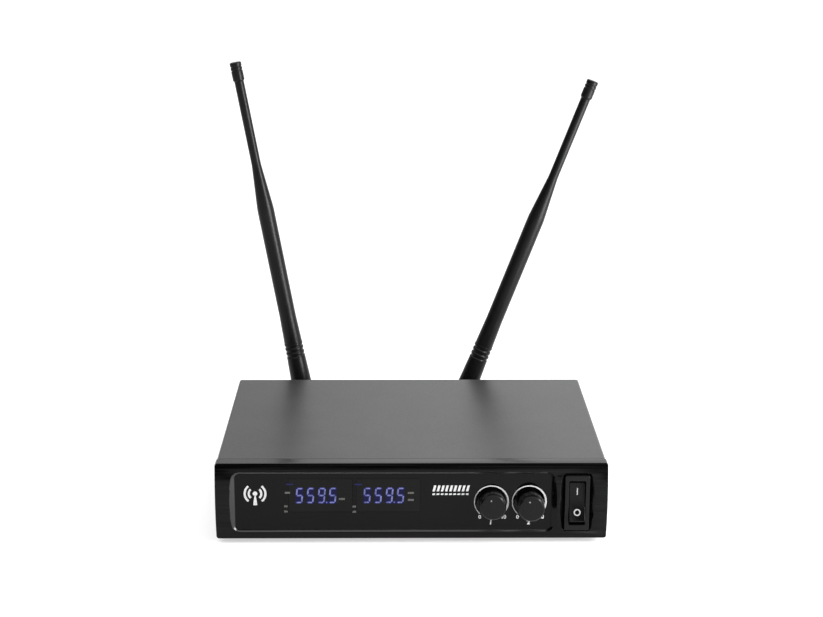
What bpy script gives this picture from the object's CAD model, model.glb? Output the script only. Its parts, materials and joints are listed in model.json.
"""Looks of a half-rack wireless receiver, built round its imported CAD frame."""
import json
from math import atan2, cos, pi, radians, sin, tan

import bmesh
import bpy
from mathutils import Matrix, Vector
from mathutils.bvhtree import BVHTree


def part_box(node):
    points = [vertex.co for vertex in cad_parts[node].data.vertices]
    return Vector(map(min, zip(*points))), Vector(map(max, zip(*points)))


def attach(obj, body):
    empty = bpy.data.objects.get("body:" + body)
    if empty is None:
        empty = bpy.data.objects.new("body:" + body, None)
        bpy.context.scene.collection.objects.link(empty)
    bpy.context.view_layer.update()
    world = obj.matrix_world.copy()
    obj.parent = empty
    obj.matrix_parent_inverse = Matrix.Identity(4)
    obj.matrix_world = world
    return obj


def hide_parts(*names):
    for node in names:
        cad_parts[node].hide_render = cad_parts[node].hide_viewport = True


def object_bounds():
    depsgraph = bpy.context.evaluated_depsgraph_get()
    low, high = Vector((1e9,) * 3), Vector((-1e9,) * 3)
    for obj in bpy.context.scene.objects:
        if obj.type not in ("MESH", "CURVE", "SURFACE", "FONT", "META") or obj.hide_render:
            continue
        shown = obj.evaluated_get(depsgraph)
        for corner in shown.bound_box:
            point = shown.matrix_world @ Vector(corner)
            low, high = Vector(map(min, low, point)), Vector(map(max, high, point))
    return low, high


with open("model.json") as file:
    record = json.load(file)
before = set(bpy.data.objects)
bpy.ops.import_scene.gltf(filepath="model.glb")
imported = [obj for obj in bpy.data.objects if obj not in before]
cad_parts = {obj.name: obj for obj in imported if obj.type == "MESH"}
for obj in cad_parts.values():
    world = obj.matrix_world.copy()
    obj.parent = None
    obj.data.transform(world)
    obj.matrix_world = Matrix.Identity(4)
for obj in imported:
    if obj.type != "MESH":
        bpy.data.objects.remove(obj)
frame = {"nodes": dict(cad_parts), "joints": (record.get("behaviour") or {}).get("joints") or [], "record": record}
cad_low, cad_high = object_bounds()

MM = 0.001
JOINTS = {j["name"]: j for j in frame["joints"]}
BODY_OF = {node: body for body, nodes in frame["record"]["behaviour"]["bodies"].items() for node in nodes}


# ---------------------------------------------------------------- camera

CAMERA_AT = Vector((-9.75, -947.17, 364.33)) * MM
CAMERA_PITCH = 0.26002
CAMERA_YAW = 0.01089
CAMERA_ROLL = 0.00221
CAMERA_LENS = 75.16


def make_camera():
    """Camera that looks along +Y and down by the pitch, with a trace of yaw and roll."""
    right = Vector((cos(CAMERA_YAW), -sin(CAMERA_YAW), 0))
    ahead = Vector((sin(CAMERA_YAW), cos(CAMERA_YAW), 0))
    upright = Vector((0, 0, 1))
    forward = ahead * cos(CAMERA_PITCH) - upright * sin(CAMERA_PITCH)
    up = ahead * sin(CAMERA_PITCH) + upright * cos(CAMERA_PITCH)
    turned_right = right * cos(CAMERA_ROLL) + up * sin(CAMERA_ROLL)
    turned_up = up * cos(CAMERA_ROLL) - right * sin(CAMERA_ROLL)
    data = bpy.data.cameras.new("camera")
    data.lens = CAMERA_LENS
    data.sensor_width = 36
    data.clip_start, data.clip_end = 0.01, 100
    camera = bpy.data.objects.new("camera", data)
    bpy.context.scene.collection.objects.link(camera)
    turn = Matrix((turned_right, turned_up, -forward)).transposed().to_4x4()
    camera.matrix_world = Matrix.Translation(CAMERA_AT) @ turn
    bpy.context.scene.camera = camera


make_camera()


# ---------------------------------------------------------------- node materials

def new_material(name):
    """A new node material, with its tree and its Principled shader."""
    material = bpy.data.materials.new(name)
    material.use_nodes = True
    tree = material.node_tree
    shader = next(n for n in tree.nodes if n.type == "BSDF_PRINCIPLED")
    return material, tree, shader


def surface_noise(tree, scale, stretch=(1, 1, 1), detail=3.0, rough=0.5):
    """Noise over the object's own coordinates; scale counts cells per metre."""
    place = tree.nodes.new("ShaderNodeTexCoord")
    fit = tree.nodes.new("ShaderNodeMapping")
    fit.inputs["Scale"].default_value = stretch
    noise = tree.nodes.new("ShaderNodeTexNoise")
    noise.inputs["Scale"].default_value = scale
    noise.inputs["Detail"].default_value = detail
    noise.inputs["Roughness"].default_value = rough
    tree.links.new(place.outputs["Object"], fit.inputs["Vector"])
    tree.links.new(fit.outputs["Vector"], noise.inputs["Vector"])
    return noise.outputs["Fac"]


def spread(tree, value, low, high, start=0.3, end=0.7):
    """Maps the middle of a noise value's range onto low to high, softly."""
    node = tree.nodes.new("ShaderNodeMapRange")
    node.interpolation_type = "SMOOTHSTEP"
    for name, number in (("From Min", start), ("From Max", end), ("To Min", low), ("To Max", high)):
        node.inputs[name].default_value = number
    tree.links.new(value, node.inputs["Value"])
    return node.outputs["Result"]


def tinted(tree, shader, value, dark, light):
    """Base colour that drifts between two colours with a value from 0 to 1."""
    mix = tree.nodes.new("ShaderNodeMix")
    mix.data_type = "RGBA"
    mix.inputs["A"].default_value = (*dark, 1)
    mix.inputs["B"].default_value = (*light, 1)
    tree.links.new(value, mix.inputs["Factor"])
    tree.links.new(mix.outputs["Result"], shader.inputs["Base Color"])


def embossed(tree, shader, value, height):
    """Relief of the given height in metres."""
    bump = tree.nodes.new("ShaderNodeBump")
    bump.inputs["Distance"].default_value = height
    tree.links.new(value, bump.inputs["Height"])
    tree.links.new(bump.outputs["Normal"], shader.inputs["Normal"])


def finish(name, colour, vary=0.15, rough=(0.4, 0.5), metal=0.0, grain=900, relief=4e-6,
           stretch=(1, 1, 1), detail=3.0, tone=40, **sockets):
    """A surface whose colour drifts, whose roughness follows a fine grain, and whose grain is in relief."""
    material, tree, shader = new_material(name)
    fine = surface_noise(tree, grain, stretch, detail)
    broad = surface_noise(tree, tone, stretch, 2)
    tinted(tree, shader, spread(tree, broad, 0, 1), [c * (1 - vary) for c in colour],
           [min(1, c * (1 + vary)) for c in colour])
    tree.links.new(spread(tree, fine, *rough), shader.inputs["Roughness"])
    embossed(tree, shader, fine, relief)
    shader.inputs["Metallic"].default_value = metal
    for key, value in sockets.items():
        shader.inputs[key.replace("_", " ")].default_value = value
    return material


def lit(name, colour, strength, vary=0.15):
    """A lit surface whose glow varies slightly along it."""
    material, tree, shader = new_material(name)
    shader.inputs["Base Color"].default_value = (0.0012, 0.0012, 0.003, 1)
    shader.inputs["Roughness"].default_value = 0.12
    shader.inputs["IOR"].default_value = 1.22
    shader.inputs["Emission Color"].default_value = (*colour, 1)
    glow = spread(tree, surface_noise(tree, 900), strength * (1 - vary), strength * (1 + vary))
    tree.links.new(glow, shader.inputs["Emission Strength"])
    return material


# Finishes of the object by key. Near-black plastics have a low IOR, or the pale floor would grey them
M = {
    "cover": finish("satin_powder_coat", (0.026, 0.0262, 0.027), rough=(0.33, 0.4), grain=1500,
                    relief=1.1e-5, vary=0.08),
    "chassis": finish("black_steel_paint", (0.02, 0.02, 0.021), rough=(0.36, 0.46), grain=1500,
                      relief=9e-6),
    "panel": finish("brushed_black_anodise", (0.0018, 0.0018, 0.0019), rough=(0.1, 0.2), grain=3600,
                    stretch=(0.012, 1, 1), detail=8, relief=7e-6, vary=0.9, tone=1400, IOR=1.22),
    "panel_edge": finish("polished_anodise", (0.01, 0.01, 0.0105), rough=(0.2, 0.26), relief=2e-6,
                         grain=1500, IOR=1.5),
    "gloss": finish("glossy_printed_acrylic", (0.0012, 0.0012, 0.0013), rough=(0.04, 0.08),
                    relief=3e-7, grain=120, vary=0.1, IOR=1.22),
    "lens": finish("smoked_acrylic_lens", (0.0027, 0.0027, 0.0025), rough=(0.06, 0.1), relief=3e-7,
                   grain=120, IOR=1.22),
    "display": finish("display_face", (0.02, 0.02, 0.022), rough=(0.5, 0.6)),
    "knob": finish("knob_plastic", (0.0022, 0.0022, 0.0023), rough=(0.24, 0.32), relief=4e-6,
                   grain=2600, IOR=1.26),
    "switch": finish("switch_plastic", (0.002, 0.002, 0.0021), rough=(0.24, 0.32), relief=5e-6,
                     grain=2200, IOR=1.27),
    "rocker": finish("rocker_plastic", (0.0015, 0.0015, 0.0016), rough=(0.2, 0.28), relief=3e-6,
                     grain=1800, IOR=1.25),
    "rubber": finish("antenna_rubber", (0.004, 0.004, 0.0042), rough=(0.3, 0.38), relief=9e-6,
                     grain=1800, IOR=1.24),
    "foot": finish("foot_rubber", (0.02, 0.02, 0.02), rough=(0.7, 0.85), relief=2e-5),
    "black_screw": finish("black_zinc", (0.035, 0.035, 0.038), rough=(0.3, 0.45), metal=0.9),
    "zinc": finish("zinc_plate", (0.62, 0.63, 0.65), rough=(0.28, 0.42), metal=1.0),
    "nickel": finish("nickel_plate", (0.4, 0.392, 0.372), rough=(0.16, 0.28), metal=1.0, relief=2e-6),
    "tin": finish("tin_plate", (0.6, 0.61, 0.62), rough=(0.3, 0.5), metal=1.0),
    "brass": finish("gilt_contact", (0.78, 0.58, 0.26), rough=(0.18, 0.3), metal=1.0, relief=2e-6),
    "board": finish("solder_mask", (0.02, 0.13, 0.05), rough=(0.3, 0.45), relief=8e-6),
    "chip": finish("chip_resin", (0.03, 0.03, 0.03), rough=(0.5, 0.65)),
    "socket": finish("socket_plastic", (0.014, 0.014, 0.0145), rough=(0.4, 0.5), grain=2200),
    "shell": finish("socket_shell_paint", (0.016, 0.016, 0.017), rough=(0.32, 0.42), grain=1500,
                    relief=8e-6),
    "ptfe": finish("white_ptfe", (0.8, 0.8, 0.77), rough=(0.4, 0.5)),
    "nylon": finish("natural_nylon", (0.7, 0.69, 0.62), rough=(0.4, 0.5)),
    "wire": finish("wire_sheath", (0.35, 0.03, 0.025), rough=(0.4, 0.5)),
    "coax": finish("coax_sheath", (0.08, 0.05, 0.03), rough=(0.4, 0.5)),
    "ink": finish("white_ink", (0.5, 0.5, 0.495), rough=(0.5, 0.6), relief=1e-6, vary=0.04),
    "mark": finish("rocker_ink", (0.3, 0.3, 0.297), rough=(0.5, 0.6), relief=1e-6, vary=0.04),
    "dot": finish("pointer_inlay", (0.2, 0.2, 0.2), rough=(0.5, 0.6), relief=1e-6),
    "dim_ink": finish("grey_ink", (0.06, 0.059, 0.055), rough=(0.5, 0.6), relief=1e-6),
    "digit": lit("lit_digit", (0.4, 0.43, 0.97), 0.45, 0.45),
    "halo": lit("digit_halo", (0.06, 0.07, 0.6), 0.24, 0.3),
    "bloom": lit("digit_bloom", (0.02, 0.02, 0.6), 0.075, 0.3),
    "blue": lit("lit_mark", (0.06, 0.065, 0.45), 0.23),
    "unlit": finish("unlit_digit", (0.0045, 0.0045, 0.005), rough=(0.3, 0.4), IOR=1.25),
}

NODE_FINISH = {
    "cover": ["top_cover"],
    "chassis": ["chassis"],
    "shell": ["xlr_shell_a", "xlr_shell_b"],
    "black_screw": ["case_screws"],
    "foot": ["feet"],
    "panel": ["front_panel"],
    "zinc": ["inner_screws", "pot_nuts", "line_jack_nut", "pot_a", "pot_b", "shaft_a", "shaft_b"],
    "gloss": ["window_plate"],
    "lens": ["display_lenses"],
    "display": ["display_a", "display_b"],
    "unlit": ["digit_segments"],
    "board": ["display_board", "main_board"],
    "knob": ["knob_a", "knob_b"],
    "switch": ["switch_housing"],
    "rocker": ["rocker"],
    "nylon": ["rocker_plunger"],
    "brass": ["switch_terminals", "contact_arm", "standoffs", "xlr_pins", "bnc_contacts", "radiator_left",
              "radiator_right"],
    "tin": ["receiver_modules"],
    "chip": ["board_parts"],
    "wire": ["wiring_loom"],
    "coax": ["antenna_leads"],
    "socket": ["dc_inlet", "line_jack", "xlr_inserts"],
    "nickel": ["dc_pin", "line_jack_contacts", "bnc_jack_left", "bnc_jack_right", "bnc_nuts",
               "bayonet_ring_left", "bayonet_ring_right", "elbow_left", "elbow_right"],
    "ptfe": ["bnc_insulators", "plug_insulator_left", "plug_insulator_right"],
    "rubber": ["antenna_base_left", "antenna_base_right", "antenna_whip_left", "antenna_whip_right",
               "antenna_tip_left", "antenna_tip_right"],
}
FINISH_OF = {node: key for key, nodes in NODE_FINISH.items() for node in nodes}
for node, key in FINISH_OF.items():
    frame["nodes"][node].data.materials.clear()
    frame["nodes"][node].data.materials.append(M[key])


# ---------------------------------------------------------------- mesh helpers

SHARP_EDGE = radians(32)
WELD = 1e-6


def object_from(name, bm):
    """Links a bmesh as a smooth-shaded object, with its sharp edges kept sharp."""
    bmesh.ops.recalc_face_normals(bm, faces=bm.faces)
    mesh = bpy.data.meshes.new(name)
    bm.to_mesh(mesh)
    bm.free()
    mesh.shade_smooth()
    mesh.set_sharp_from_angle(angle=SHARP_EDGE)
    obj = bpy.data.objects.new(name, mesh)
    bpy.context.scene.collection.objects.link(obj)
    return obj


def apply_modifiers(obj):
    """Makes the result of an object's modifiers its own mesh."""
    depsgraph = bpy.context.evaluated_depsgraph_get()
    mesh = bpy.data.meshes.new_from_object(obj.evaluated_get(depsgraph))
    obj.modifiers.clear()
    old = obj.data
    obj.data = mesh
    bpy.data.meshes.remove(old)


def bevelled(obj, width, segments=2, angle=30):
    """Rounds the edges sharper than an angle."""
    bevel = obj.modifiers.new("bevel", "BEVEL")
    bevel.width = width
    bevel.segments = segments
    bevel.limit_method = "ANGLE"
    bevel.angle_limit = radians(angle)
    bevel.use_clamp_overlap = False
    bevel.harden_normals = True
    bevel.miter_outer = "MITER_ARC"
    apply_modifiers(obj)
    return obj


def placed(obj, key, node, body=None, hide=()):
    """Finishes a piece: material, body, slot, and the CAD nodes that it stands for."""
    obj.data.materials.clear()
    obj.data.materials.append(M[key])
    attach(obj, body or BODY_OF[node])
    if hide:
        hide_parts(*hide)
    return obj


def softened(node, width, segments=2, angle=30):
    """Copy of a CAD node with its edges rounded, as moulding, folding or plating leaves them."""
    bm = bmesh.new()
    bm.from_mesh(frame["nodes"][node].data)
    bmesh.ops.remove_doubles(bm, verts=bm.verts, dist=WELD)
    bmesh.ops.dissolve_limit(bm, angle_limit=radians(0.5), verts=bm.verts, edges=bm.edges)
    obj = bevelled(object_from("soft_" + node, bm), width, segments, angle)
    return placed(obj, FINISH_OF[node], node, hide=[node])


def filleted(points, radii, steps=4, closed=False):
    """Outline in (u, v) with its corners rounded; radii is one number, or one for each point."""
    count = len(points)
    if not hasattr(radii, "__len__"):
        radii = [radii] * count
    result = []
    for i, corner in enumerate(points):
        corner = Vector(corner)
        if radii[i] <= 0 or (not closed and i in (0, count - 1)):
            result.append(corner)
            continue
        back = Vector(points[i - 1]) - corner
        ahead = Vector(points[(i + 1) % count]) - corner
        half = back.angle(ahead) / 2
        cut = min(radii[i] / tan(half), 0.49 * back.length, 0.49 * ahead.length)
        radius = cut * tan(half)
        centre = corner + (back.normalized() + ahead.normalized()).normalized() * (radius / sin(half))
        start = corner + back.normalized() * cut - centre
        end = corner + ahead.normalized() * cut - centre
        swing = start.angle_signed(end)
        for k in range(steps + 1):
            turn = Matrix.Rotation(-swing * k / steps, 2)
            result.append(centre + turn @ start)
    return result


def lathe(name, profile, origin, axis, steps=96, teeth=0, tooth_depth=0.0, toothed=()):
    """Turned piece: profile holds (radius, distance along the axis), and toothed is the knurled stretch."""
    axis = Vector(axis).normalized()
    side = axis.orthogonal().normalized()
    other = axis.cross(side)
    if teeth:
        steps = teeth * 4
    bm = bmesh.new()
    rings = []
    for radius, along in profile:
        centre = Vector(origin) + axis * along
        if radius < 1e-7:
            rings.append([bm.verts.new(centre)])
            continue
        ring = []
        for k in range(steps):
            turn = 2 * pi * k / steps
            r = radius
            if teeth and toothed[0] < along < toothed[1]:
                r -= tooth_depth * (0, 0.75, 1, 0.75)[k % 4]
            ring.append(bm.verts.new(centre + side * (r * cos(turn)) + other * (r * sin(turn))))
        rings.append(ring)
    for low, high in zip(rings, rings[1:]):
        for k in range(steps):
            corners = [low[k % len(low)], low[(k + 1) % len(low)],
                       high[(k + 1) % len(high)], high[k % len(high)]]
            corners = [v for i, v in enumerate(corners) if v not in corners[:i]]
            if len(corners) > 2:
                bm.faces.new(corners)
    for ring in (rings[0], rings[-1]):
        if len(ring) > 1 and rings[0] is not rings[-1]:
            bm.faces.new(ring)
    return object_from(name, bm)


def prisms(name, outlines, origin, right, up, thickness, sink=0.05 * MM):
    """Flat shapes that stand proud of a surface by a thickness: outlines hold (u, v) in metres."""
    right, up = Vector(right).normalized(), Vector(up).normalized()
    outward = right.cross(up)
    bm = bmesh.new()
    for outline in outlines:
        layers = []
        for height in (-sink, thickness):
            layers.append([bm.verts.new(Vector(origin) + right * u + up * v + outward * height)
                           for u, v in outline])
        low, high = layers
        bm.faces.new(high)
        bm.faces.new(low[::-1])
        for k in range(len(low)):
            j = (k + 1) % len(low)
            bm.faces.new((low[k], low[j], high[j], high[k]))
    bmesh.ops.triangulate(bm, faces=[f for f in bm.faces if len(f.verts) > 4])
    return object_from(name, bm)


def rectangle(u, v, width, height, lean=0.0):
    """Outline of a rectangle about a middle; lean slants it to the right."""
    return [(u + su * width / 2 + lean * sv * height / 2, v + sv * height / 2)
            for su, sv in ((-1, -1), (1, -1), (1, 1), (-1, 1))]


def sector(u, v, inner, outer, start, end, steps=48):
    """Outline of a ring's sector; inner and outer are radii or functions of the share from start to end."""
    def radius(value, share):
        return value(share) if callable(value) else value
    shares = [k / steps for k in range(steps + 1)]
    angles = [start + (end - start) * s for s in shares]
    out = [(u + radius(outer, s) * cos(a), v + radius(outer, s) * sin(a)) for s, a in zip(shares, angles)]
    back = [(u + radius(inner, s) * cos(a), v + radius(inner, s) * sin(a)) for s, a in zip(shares, angles)]
    return out + back[::-1]


def circle(u, v, radius, steps=32):
    """Outline of a circle."""
    turns = [2 * pi * k / steps for k in range(steps)]
    return [(u + radius * cos(turn), v + radius * sin(turn)) for turn in turns]


def cut_by(obj, cutter):
    """Takes a cutter's shape out of an object and removes the cutter."""
    boolean = obj.modifiers.new("cut", "BOOLEAN")
    boolean.operation = "DIFFERENCE"
    boolean.solver = "EXACT"
    boolean.object = cutter
    apply_modifiers(obj)
    bpy.data.objects.remove(cutter)
    obj.data.shade_smooth()
    obj.data.set_sharp_from_angle(angle=SHARP_EDGE)
    return obj


def joined(name, objects):
    """One object made of several."""
    bm = bmesh.new()
    for obj in objects:
        bm.from_mesh(obj.data)
        bpy.data.objects.remove(obj)
    return object_from(name, bm)


def loose_parts(node):
    """Corner points of each separate solid of a CAD node."""
    bm = bmesh.new()
    bm.from_mesh(frame["nodes"][node].data)
    bmesh.ops.remove_doubles(bm, verts=bm.verts, dist=WELD)
    bm.verts.index_update()
    parts, seen = [], set()
    for seed in bm.verts:
        if seed in seen:
            continue
        island, queue = set(), [seed]
        while queue:
            vertex = queue.pop()
            if vertex not in island:
                island.add(vertex)
                queue.extend(edge.other_vert(vertex) for edge in vertex.link_edges)
        seen |= island
        parts.append([v.co.copy() for v in sorted(island, key=lambda v: v.index)])
    bm.free()
    return parts


def span(node, origin, axis):
    """Lowest and highest distance of a CAD node along an axis, and its largest radius about it."""
    along, radii = [], []
    for vertex in frame["nodes"][node].data.vertices:
        offset = vertex.co - Vector(origin)
        distance = offset.dot(axis)
        along.append(distance)
        radii.append((offset - axis * distance).length)
    return min(along), max(along), max(radii)


def surface_at(node, x, z):
    """Point and normal of a CAD node's front where a line along +Y meets it."""
    mesh = frame["nodes"][node].data
    tree = BVHTree.FromPolygons([v.co for v in mesh.vertices], [p.vertices for p in mesh.polygons])
    point, normal, _, _ = tree.ray_cast(Vector((x, -1, z)), Vector((0, 1, 0)))
    if normal.y > 0:
        normal.negate()
    return point, normal


# ---------------------------------------------------------------- front

RIGHT, UP = Vector((1, 0, 0)), Vector((0, 0, 1))
INK = 0.03 * MM
PLATE_LOW, PLATE_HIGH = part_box("window_plate")
PLATE_FACE = PLATE_LOW.y
SAME_FACE = 1e-5

READOUT = "559.5"
BARS_PER_DIGIT = 8
SEGMENTS = {(0, 1): "top", (1, 0.5): "upper_right", (1, -0.5): "lower_right", (0, -1): "bottom",
            (-1, -0.5): "lower_left", (-1, 0.5): "upper_left", (0, 0): "middle"}
DARK_SEGMENTS = {"5": {"upper_right", "lower_left"}, "9": {"lower_left"}}
HALO, CORE_INSET = 0.42 * MM, 0.13 * MM
BLOOM_MARGIN, BLOOM_CORNER = 0.5 * MM, 1.1 * MM
DISPLAY_LEAN = 0.1


def on_plate(name, outlines, key, node, thickness=INK):
    """Print on the window plate: outlines are in X and Z of the frame."""
    return placed(prisms(name, outlines, (0, PLATE_FACE, 0), RIGHT, UP, thickness), key, node)


def digit_bars():
    """Middle and front outline of every bar and point of the digits, from left to right."""
    bars = []
    for points in loose_parts("digit_segments"):
        face = min(p.y for p in points)
        front = [p for p in points if p.y < face + SAME_FACE]
        middle = sum(front, Vector()) / len(front)
        ordered = sorted(front, key=lambda p: atan2(p.z - middle.z, p.x - middle.x))
        bars.append((middle, [(p.x, p.z) for p in ordered]))
    return sorted(bars, key=lambda bar: bar[0].x)


def grown(bar, by):
    """Outline of a bar with its corners moved away from its middle."""
    middle = Vector((bar[0].x, bar[0].z))
    return [tuple(Vector(p) + (Vector(p) - middle).normalized() * by) for p in bar[1]]


def seven_segments():
    """Lit and unlit bars of the digits, seen through the lenses, with the glow round the lit ones."""
    digits = READOUT.replace(".", "")
    point_after = READOUT.index(".") - 1
    bars = digit_bars()
    lit_bars, unlit_bars, blooms = [], [], []
    for d in range(len(bars) // BARS_PER_DIGIT):
        group = bars[d * BARS_PER_DIGIT:(d + 1) * BARS_PER_DIGIT]
        place = d % len(digits)
        point = max(group, key=lambda bar: len(bar[1]))
        segments = [bar for bar in group if bar is not point]
        mid_x = sum(bar[0].x for bar in segments) / len(segments)
        mid_z = sum(bar[0].z for bar in segments) / len(segments)
        half_x = max(bar[0].x for bar in segments) - mid_x
        half_z = max(bar[0].z for bar in segments) - mid_z
        for bar in segments:
            u, v = (bar[0].x - mid_x) / half_x, (bar[0].z - mid_z) / half_z
            nearest = min(SEGMENTS, key=lambda spot: (spot[0] - u) ** 2 + (spot[1] - v) ** 2)
            is_dark = SEGMENTS[nearest] in DARK_SEGMENTS[digits[place]]
            (unlit_bars if is_dark else lit_bars).append(bar)
        (lit_bars if place == point_after else unlit_bars).append(point)
        around = rectangle(mid_x, mid_z, 2 * half_x + BLOOM_MARGIN, 2 * half_z + BLOOM_MARGIN, DISPLAY_LEAN)
        blooms.append([tuple(p) for p in filleted(around, BLOOM_CORNER, closed=True)])
    for name, outlines, key, height in (
            ("digit_bloom", blooms, "bloom", 0.006),
            ("digit_glow", [grown(bar, HALO) for bar in lit_bars], "halo", 0.01),
            ("lit_digits", [grown(bar, -CORE_INSET) for bar in lit_bars], "digit", 0.03),
            ("unlit_digits", [bar[1] for bar in unlit_bars], "unlit", 0.004)):
        layer = on_plate(name, outlines, key, "digit_segments", height * MM)
        if name == "lit_digits":
            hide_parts("digit_segments")


def display_marks():
    """Small lit and grey marks beside the digits, as dashes in place of abbreviations."""
    low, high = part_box("display_lenses")
    left, right, top = low.x, high.x, high.z
    blue_size, grey_height = (3.8 * MM, 0.8 * MM), 1.1 * MM
    # An edge of the lenses, then millimetres from it to the middle of the mark, and down from their top
    blue = ((left, 0.6, 2.95), (left, 37.6, 3.1))
    # The same, and the mark's width
    grey = ((left, -0.6, 7.8, 2.8), (left, 28.7, 11.4, 3.2),
            (left, -1.6, 15.6, 1.9), (left, -1.6, 18.6, 1.9),
            (left, 35.4, 15.8, 1.9), (left, 35.4, 18.8, 1.9),
            (right, -5.0, 8.0, 3.4), (right, -5.0, 12.0, 3.2))
    blue_marks = [rectangle(x + dx * MM, top - drop * MM, *blue_size, DISPLAY_LEAN) for x, dx, drop in blue]
    grey_marks = [rectangle(x + dx * MM, top - drop * MM, width * MM, grey_height, DISPLAY_LEAN)
                  for x, dx, drop, width in grey]
    on_plate("lit_marks", blue_marks, "blue", "display_lenses")
    on_plate("grey_marks", grey_marks, "dim_ink", "display_lenses")


def wireless_badge():
    """Mast with waves on either side, as a sign for a radio receiver."""
    u, v = PLATE_LOW.x + 11.0 * MM, PLATE_LOW.z + 21.0 * MM
    ball, neck_half, foot_half = 1.25 * MM, 0.35 * MM, 1.1 * MM
    neck_drop, foot_drop = 1.0 * MM, 6.6 * MM
    half_stroke = 0.58
    outlines = [circle(u, v, ball),
                [(u - neck_half, v - neck_drop), (u - foot_half, v - foot_drop),
                 (u + foot_half, v - foot_drop), (u + neck_half, v - neck_drop)]]
    for facing in (0, pi):
        for radius, reach in ((3.4, 46), (5.6, 50)):
            outlines.append(sector(u, v, (radius - half_stroke) * MM, (radius + half_stroke) * MM,
                                   facing - radians(reach), facing + radians(reach), 16))
    on_plate("wireless_badge", outlines, "ink", "window_plate")


def strip_of_bars():
    """Row of slanted bars over a row of dashes, in place of lettering."""
    left, base = PLATE_LOW.x + 106.7 * MM, PLATE_LOW.z + 22.1 * MM
    count, pitch, lean = 9, 2.26 * MM, 0.25
    bar_w, bar_h, bar_rise = 1.25 * MM, 3.4 * MM, 1.75 * MM
    dash_w, dash_h, dash_drop, dash_shift = 1.45 * MM, 0.9 * MM, 1.55 * MM, 0.35 * MM
    outlines = []
    for k in range(count):
        x = left + (k + 0.5) * pitch
        outlines.append(rectangle(x, base + bar_rise, bar_w, bar_h, lean))
        outlines.append(rectangle(x - dash_shift, base - dash_drop, dash_w, dash_h, lean))
    on_plate("print_bars", outlines, "ink", "window_plate")


NUMERAL_BOLDNESS = 0.035


def number(text, size, u, v):
    """Numerals of a size, centred on (u, v) of the window plate, thickened by a trace."""
    data = bpy.data.curves.new("numeral_" + text, "FONT")
    data.body = text
    data.size = size
    data.align_x, data.align_y = "CENTER", "CENTER"
    data.extrude = INK
    data.offset = size * NUMERAL_BOLDNESS
    obj = bpy.data.objects.new("numeral_" + text, data)
    bpy.context.scene.collection.objects.link(obj)
    depsgraph = bpy.context.evaluated_depsgraph_get()
    mesh = bpy.data.meshes.new_from_object(obj.evaluated_get(depsgraph))
    bpy.data.objects.remove(obj)
    mesh.transform(Matrix.Translation((u, PLATE_FACE, v)) @ Matrix.Rotation(pi / 2, 4, "X"))
    result = bpy.data.objects.new("numeral_" + text, mesh)
    bpy.context.scene.collection.objects.link(result)
    return result


def volume_scales():
    """Wedge arcs round the knobs, with the ends of their scales and the channel numbers."""
    reach = radians(138)
    outer, shift = 9.45 * MM, 0.4 * MM
    thin, growth = 0.34 * MM, 0.92 * MM
    end_size, end_drop, low_end, high_end = 2.9 * MM, 8.8 * MM, -6.3 * MM, 6.6 * MM
    channel_size, channel_drop, channel_shift = 3.3 * MM, 11.95 * MM, -0.3 * MM
    outlines, numerals = [], []
    for channel, knob in (("1", "volume_a"), ("2", "volume_b")):
        x, _, z = JOINTS[knob]["pos_m"]
        x -= shift
        outlines.append(sector(x, z, lambda s: outer - thin - growth * s ** 1.6, outer,
                               pi / 2 + reach, pi / 2 - reach, 72))
        numerals.append(number("0", end_size, x + low_end, z - end_drop))
        numerals.append(number("10", end_size, x + high_end, z - end_drop))
        numerals.append(number(channel, channel_size, x + channel_shift, z - channel_drop))
    on_plate("volume_arcs", outlines, "ink", "window_plate")
    placed(joined("scale_numbers", numerals), "ink", "window_plate")


def turned_knob(node):
    """Volume knob with a chamfered front, a hollow back and an inlaid pointer dot."""
    low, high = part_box(node)
    x, _, z = JOINTS["volume_a" if node == "knob_a" else "volume_b"]["pos_m"]
    radius, length = (high.x - low.x) / 2, high.y - low.y
    wall, boss, bore, hollow = 1.3 * MM, 4.4 * MM, 3.2 * MM, 3.5 * MM
    chamfer, draft = 0.75 * MM, 0.06 * MM
    profile = [(bore, hollow), (bore, 0), (boss, 0), (boss, hollow),
               (radius - wall, hollow), (radius - wall, 0), (radius, 0),
               (radius - draft, length - chamfer), (radius - chamfer, length), (0, length)]
    radii = [0, 0, 0, 0.1 * MM, 0.2 * MM, 0.1 * MM, 0.15 * MM, 0.12 * MM, 0.12 * MM, 0]
    profile = [(0, hollow)] + [tuple(p) for p in filleted(profile, radii, 3)]
    knob = lathe("turned_" + node, profile, (x, high.y, z), (0, -1, 0), 128)
    placed(knob, "knob", node, hide=[node])
    lean, offset, dot_r, proud = radians(14), 4.1 * MM, 0.42 * MM, 0.04 * MM
    dot = circle(-offset * sin(lean), offset * cos(lean), dot_r, 24)
    placed(prisms(node + "_dot", [dot], (x, low.y, z), RIGHT, UP, proud), "dot", node)


def rocker_marks():
    """Bar and ring on the two halves of the rocker."""
    x, _, pivot_z = JOINTS["power_rocker"]["pos_m"]
    bar_w, bar_h, bar_rise = 0.55 * MM, 4.0 * MM, 6.4 * MM
    ring_in, ring_out, ring_drop = 1.22 * MM, 1.88 * MM, 5.0 * MM
    proud = 0.05 * MM
    halves = [sector(0, 0, ring_in, ring_out, start, start + pi, 20) for start in (0, pi)]
    marks = []
    for name, rise, outlines in (("rocker_bar", bar_rise, [rectangle(0, 0, bar_w, bar_h)]),
                                 ("rocker_ring", -ring_drop, halves)):
        point, normal = surface_at("rocker", x, pivot_z + rise)
        up = normal.cross(RIGHT)
        if up.z < 0:
            up.negate()
        marks.append(prisms(name, outlines, point, RIGHT, up, proud))
    placed(joined("rocker_marks", marks), "mark", "rocker")


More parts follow.
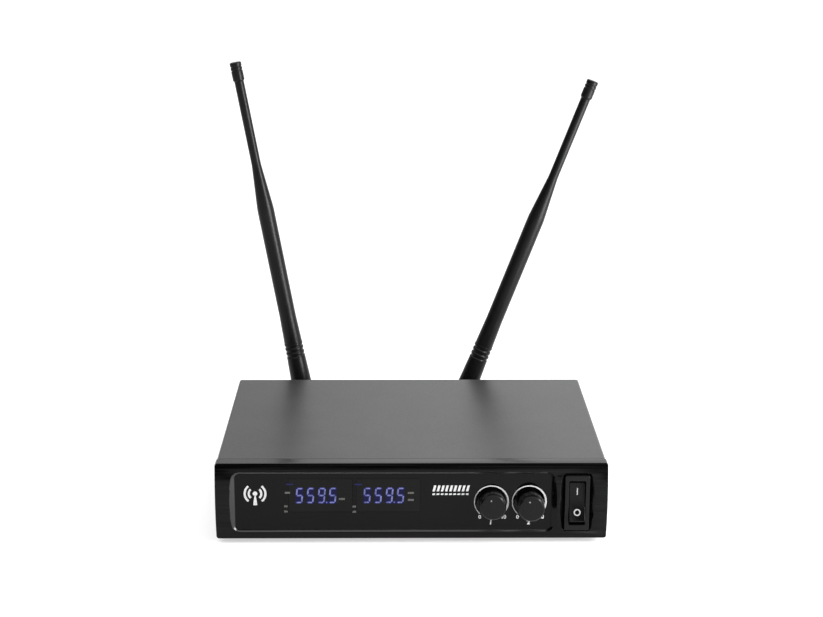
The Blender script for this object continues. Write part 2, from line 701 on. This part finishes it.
def polished_edges(panel):
    """Gives the panel's top and the sloping rim of its window the smoother finish of cut edges."""
    panel.data.materials.append(M["panel_edge"])
    margin, rim_depth = 2.5 * MM, 5 * MM
    front_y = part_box("front_panel")[0].y
    for face in panel.data.polygons:
        x, y, z = face.center
        # The slope at the window's right end keeps the panel's own finish
        in_window = (PLATE_LOW.x - margin < x < PLATE_HIGH.x - margin
                     and PLATE_LOW.z - margin < z < PLATE_HIGH.z + margin
                     and y < front_y + rim_depth)
        faces_up = face.normal.z > 0.75
        slopes = 0.3 < abs(face.normal.y) < 0.94
        if faces_up or (in_window and slopes):
            face.material_index = 1


def make_front():
    """Everything that the front of the receiver shows."""
    polished_edges(softened("front_panel", 0.3 * MM, 3))
    softened("window_plate", 0.08 * MM)
    softened("switch_housing", 0.35 * MM, 3)
    softened("rocker", 0.35 * MM, 3)
    seven_segments()
    display_marks()
    wireless_badge()
    strip_of_bars()
    volume_scales()
    for node in ("knob_a", "knob_b"):
        turned_knob(node)
    rocker_marks()


# ---------------------------------------------------------------- case

SCREW_END = 0.1 * MM


def screw_head(centre, outward, radius, height, turn):
    """Domed head on a thin rim, with a cross recess that tapers inwards."""
    sink, rim, lip = 0.05 * MM, 0.2 * MM, 0.1 * MM
    dome = [(0, -sink), (radius - lip, -sink), (radius, rim), (radius - 0.15 * MM, height * 0.55),
            (radius * 0.72, height * 0.92), (radius * 0.4, height), (0, height)]
    radii = [0, lip, rim, 0.6 * MM, 0.8 * MM, 0, 0]
    head = lathe("head", [tuple(p) for p in filleted(dome, radii, 3)], centre, outward, 48)
    side = outward.orthogonal().normalized()
    mouth = (height + 0.3 * MM, radius * 0.62, 0.24 * MM)
    floor = (height - 1.1 * MM, radius * 0.25, 0.16 * MM)
    quads = ((0, 2, 3, 1), (4, 6, 7, 5), (0, 1, 7, 6), (2, 4, 5, 3), (0, 6, 4, 2), (1, 3, 5, 7))
    arms = []
    for k in range(2):
        direction = (Matrix.Rotation(turn + k * pi / 2, 3, outward) @ side).normalized()
        across = outward.cross(direction)
        bm = bmesh.new()
        corners = []
        for along, (rise, length, half_width) in ((-1, mouth), (1, mouth), (1, floor), (-1, floor)):
            for flank in (-1, 1):
                corners.append(bm.verts.new(Vector(centre) + outward * rise + direction * along * length
                                            + across * flank * half_width))
        for quad in quads:
            bm.faces.new([corners[i] for i in quad])
        arms.append(object_from("arm", bm))
    for arm in arms:
        cut_by(head, arm)
    return head


def screw_places():
    """Top of the head, outward direction and head radius of each screw in the case_screws node."""
    places = []
    for points in loose_parts("case_screws"):
        least = Vector([min(p[i] for p in points) for i in range(3)])
        most = Vector([max(p[i] for p in points) for i in range(3)])
        size, middle = most - least, (least + most) / 2
        # The head is as wide as it is high across the screw, so the middle size is its diameter
        wide = sorted(size)[1]
        along = max(range(3), key=lambda i: abs(size[i] - wide))
        head_side = 0
        for sign, edge in ((-1, least[along]), (1, most[along])):
            ring = [p for p in points if abs(p[along] - edge) < SCREW_END]
            if max((p - middle)[(along + 1) % 3] for p in ring) > wide * 0.4:
                head_side = sign
        outward = Vector((0, 0, 0))
        outward[along] = head_side
        face = middle.copy()
        face[along] = most[along] if head_side > 0 else least[along]
        places.append((face, outward, wide / 2))
    return places


def case_screw_heads():
    """Cross-recessed heads on the sides, the underside and the output sockets, each turned its own way."""
    height = 1.6 * MM
    heads = [screw_head(face - outward * height, outward, radius, height, radians(17 + 41 * k))
             for k, (face, outward, radius) in enumerate(screw_places())]
    placed(joined("case_screw_heads", heads), "black_screw", "case_screws", hide=["case_screws"])


def make_case():
    """Cover, chassis, feet and the screws that hold them."""
    softened("top_cover", 0.12 * MM)
    softened("chassis", 0.12 * MM)
    softened("feet", 0.5 * MM, 3)
    case_screw_heads()


# ---------------------------------------------------------------- rear

def knurled_ring(side):
    """Bayonet ring with a knurled band between two plain collars."""
    node = "bayonet_ring_" + side
    origin = Vector(JOINTS[f"bayonet_{side}_turn"]["pos_m"])
    axis = Vector((0, 1, 0))
    start, end, radius = span(node, origin, axis)
    bore, neck, lip, groove = 5.0 * MM, 4.25 * MM, 1.5 * MM, 0.35 * MM
    collar, shoulder = radius - 0.5 * MM, radius - 0.9 * MM
    near, far = start + 4.4 * MM, end - 3.0 * MM
    hair = 0.05 * MM
    profile = [(bore, end - lip), (bore, start), (collar, start), (collar, near - 0.9 * MM),
               (collar - groove, near - 0.8 * MM), (collar - groove, near - 0.2 * MM),
               (radius, near), (radius, far), (shoulder, far + 0.7 * MM),
               (shoulder, end), (neck, end), (neck, end - lip), (bore, end - lip)]
    radii = [0, 0.1 * MM, 0.3 * MM, hair, hair, hair, 0.2 * MM, 0.2 * MM, 0.2 * MM, 0.4 * MM, 0, 0, 0]
    points = [tuple(p) for p in filleted(profile, radii, 3)]
    ring = lathe("knurled_" + node, points, origin, axis, teeth=40, tooth_depth=0.3 * MM,
                 toothed=(near + 0.02 * MM, far + 0.02 * MM))
    placed(ring, "nickel", node, hide=[node])


def antenna_frame(side):
    """Connector axis point and direction of an antenna."""
    origin = Vector(JOINTS[f"antenna_{side}_swivel"]["pos_m"])
    low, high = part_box("antenna_tip_" + side)
    axis = (low + high) / 2 - origin
    axis.y = 0
    return origin, axis.normalized()


def turned_antenna(side):
    """Ridged sleeve, tapered rod and grooved tip cap, with the soft edges of moulded rubber."""
    origin, axis = antenna_frame(side)
    start, top, foot_r = span("antenna_base_" + side, origin, axis)
    core = 1.25 * MM
    slim = foot_r - 0.85 * MM
    ridges, pitch, sunk, eased = 3, 3 * MM, slim - 0.42 * MM, slim - 0.15 * MM
    first = top - ridges * pitch
    profile = [(core, start), (foot_r, start), (foot_r - 0.3 * MM, start + 7 * MM), (slim, first)]
    radii = [0, 0.5 * MM, 3 * MM, 0.2 * MM]
    for k in range(ridges):
        ridge = first + pitch * k
        profile += [(sunk, ridge + 0.5 * MM), (sunk, ridge + 1.3 * MM),
                    (slim, ridge + 1.8 * MM), (slim, ridge + 2.9 * MM)]
        radii += [0.25 * MM, 0.25 * MM, 0.3 * MM, 0.3 * MM]
    profile += [(eased, top), (core, top)]
    radii += [0.1 * MM, 0]
    base = lathe("sleeve_" + side, [tuple(p) for p in filleted(profile, radii, 4)], origin, axis)
    placed(base, "rubber", "antenna_base_" + side, hide=["antenna_base_" + side])

    low, high, _ = span("antenna_whip_" + side, origin, axis)
    thick, thin = 5.15 * MM, 2.9 * MM
    swell, taper_start, taper_end = low + 18 * MM, high - 80.2 * MM, high - 52 * MM
    profile = [(core, low), (eased, low), (thick, swell), (thick, taper_start),
               (thin, taper_end), (thin, high), (core, high)]
    radii = [0, 0.1 * MM, 60 * MM, 45 * MM, 45 * MM, 0.05 * MM, 0]
    rod = lathe("rod_" + side, [tuple(p) for p in filleted(profile, radii, 8)], origin, axis)
    placed(rod, "rubber", "antenna_whip_" + side, hide=["antenna_whip_" + side])

    low, high, cap = span("antenna_tip_" + side, origin, axis)
    groove, slope = 0.27 * MM, 0.3 * MM
    profile = [(core, low), (thin, low), (cap, low + 1.0 * MM)]
    radii = [0, 0.1 * MM, 0.4 * MM]
    for near, far in ((5.5 * MM, 4.5 * MM), (3.3 * MM, 2.3 * MM)):
        profile += [(cap, high - near), (cap - groove, high - near + slope),
                    (cap - groove, high - far - slope), (cap, high - far)]
        radii += [0.2 * MM] * 4
    profile += [(cap, high), (0, high)]
    radii += [0.6 * MM, 0]
    tip = lathe("cap_" + side, [tuple(p) for p in filleted(profile, radii, 4)], origin, axis)
    placed(tip, "rubber", "antenna_tip_" + side, hide=["antenna_tip_" + side])


def make_rear():
    """Connectors, bayonet rings and antennas at the back."""
    for tag in ("a", "b"):
        softened("xlr_shell_" + tag, 0.25 * MM, 3)
    softened("dc_inlet", 0.15 * MM)
    softened("line_jack", 0.2 * MM)
    softened("line_jack_nut", 0.25 * MM)
    softened("bnc_nuts", 0.25 * MM)
    for side in ("left", "right"):
        softened("bnc_jack_" + side, 0.2 * MM)
        softened("elbow_" + side, 0.6 * MM, 3)
        knurled_ring(side)
        turned_antenna(side)


make_front()
make_case()
make_rear()


# ---------------------------------------------------------------- stage

# Strengths of the world's light in front, behind and above, and of the floor's own light
FRONT_GLOW, BACKDROP_GLOW, CEILING_GLOW, FLOOR_GLOW = 0.03, 1.17, 1.7, 0.52
LEFT_SHARE = 0.52


def make_floor():
    """Plain pale floor that the object stands on."""
    mesh = bpy.data.meshes.new("floor")
    half = 12.0
    corners = [(-half, -half, 0), (half, -half, 0), (half, half, 0), (-half, half, 0)]
    mesh.from_pydata(corners, [], [(0, 1, 2, 3)])
    floor = bpy.data.objects.new("floor", mesh)
    bpy.context.scene.collection.objects.link(floor)
    floor.location.z = cad_low.z
    material, tree, shader = new_material("pale_floor")
    tinted(tree, shader, spread(tree, surface_noise(tree, 3), 0, 1), (0.54, 0.54, 0.54), (0.56, 0.56, 0.56))
    shader.inputs["Roughness"].default_value = 0.9
    shader.inputs["Specular IOR Level"].default_value = 0.1
    shader.inputs["Emission Color"].default_value = (1, 1, 1, 1)
    shader.inputs["Emission Strength"].default_value = FLOOR_GLOW
    mesh.materials.append(material)


def softbox(name, at, aim, size, power):
    """Rectangular soft light that faces a point."""
    data = bpy.data.lights.new(name, "AREA")
    data.shape = "RECTANGLE"
    data.size, data.size_y = size
    data.energy = power
    light = bpy.data.objects.new(name, data)
    bpy.context.scene.collection.objects.link(light)
    light.location = at
    light.rotation_mode = "QUATERNION"
    light.rotation_quaternion = (Vector(aim) - Vector(at)).to_track_quat("-Z", "Y")
    light.visible_camera = False


def make_studio():
    """Pale light behind, dimmer to the left, a dark room in front, a bright ceiling and three softboxes.

    The camera itself sees a plain pale background in every direction.
    """
    world = bpy.data.worlds.new("studio")
    bpy.context.scene.world = world
    world.use_nodes = True
    tree = world.node_tree
    background = tree.nodes["Background"]
    background.inputs["Color"].default_value = (1, 1, 1, 1)
    place = tree.nodes.new("ShaderNodeTexCoord")
    axes = tree.nodes.new("ShaderNodeSeparateXYZ")
    tree.links.new(place.outputs["Generated"], axes.inputs["Vector"])
    behind = spread(tree, axes.outputs["Y"], FRONT_GLOW, BACKDROP_GLOW, 0.0, 0.55)
    sideways = spread(tree, axes.outputs["X"], LEFT_SHARE, 1.0, -0.16, 0.06)
    backdrop = tree.nodes.new("ShaderNodeMath")
    backdrop.operation = "MULTIPLY"
    tree.links.new(behind, backdrop.inputs[0])
    tree.links.new(sideways, backdrop.inputs[1])
    ceiling = spread(tree, axes.outputs["Z"], 0, 1, 0.45, 0.7)
    total = tree.nodes.new("ShaderNodeMix")
    total.data_type = "FLOAT"
    tree.links.new(ceiling, total.inputs["Factor"])
    tree.links.new(backdrop.outputs[0], total.inputs["A"])
    total.inputs["B"].default_value = CEILING_GLOW
    seen = tree.nodes.new("ShaderNodeMix")
    seen.data_type = "FLOAT"
    tree.links.new(tree.nodes.new("ShaderNodeLightPath").outputs["Is Camera Ray"], seen.inputs["Factor"])
    tree.links.new(total.outputs["Result"], seen.inputs["A"])
    seen.inputs["B"].default_value = BACKDROP_GLOW
    tree.links.new(seen.outputs["Result"], background.inputs["Strength"])
    softbox("right_high", (1.07, -0.32, 0.66), (0, -0.05, 0.03), (0.36, 0.36), 9)
    softbox("right_low", (0.78, -0.46, 0.24), (0, 0.1, 0.13), (0.3, 0.46), 13)
    softbox("table_right", (0.47, -0.22, 0.01), (0.47, -0.22, 1), (0.36, 0.42), 6)


make_floor()
make_studio()
bpy.context.scene.view_settings.view_transform = "Standard"
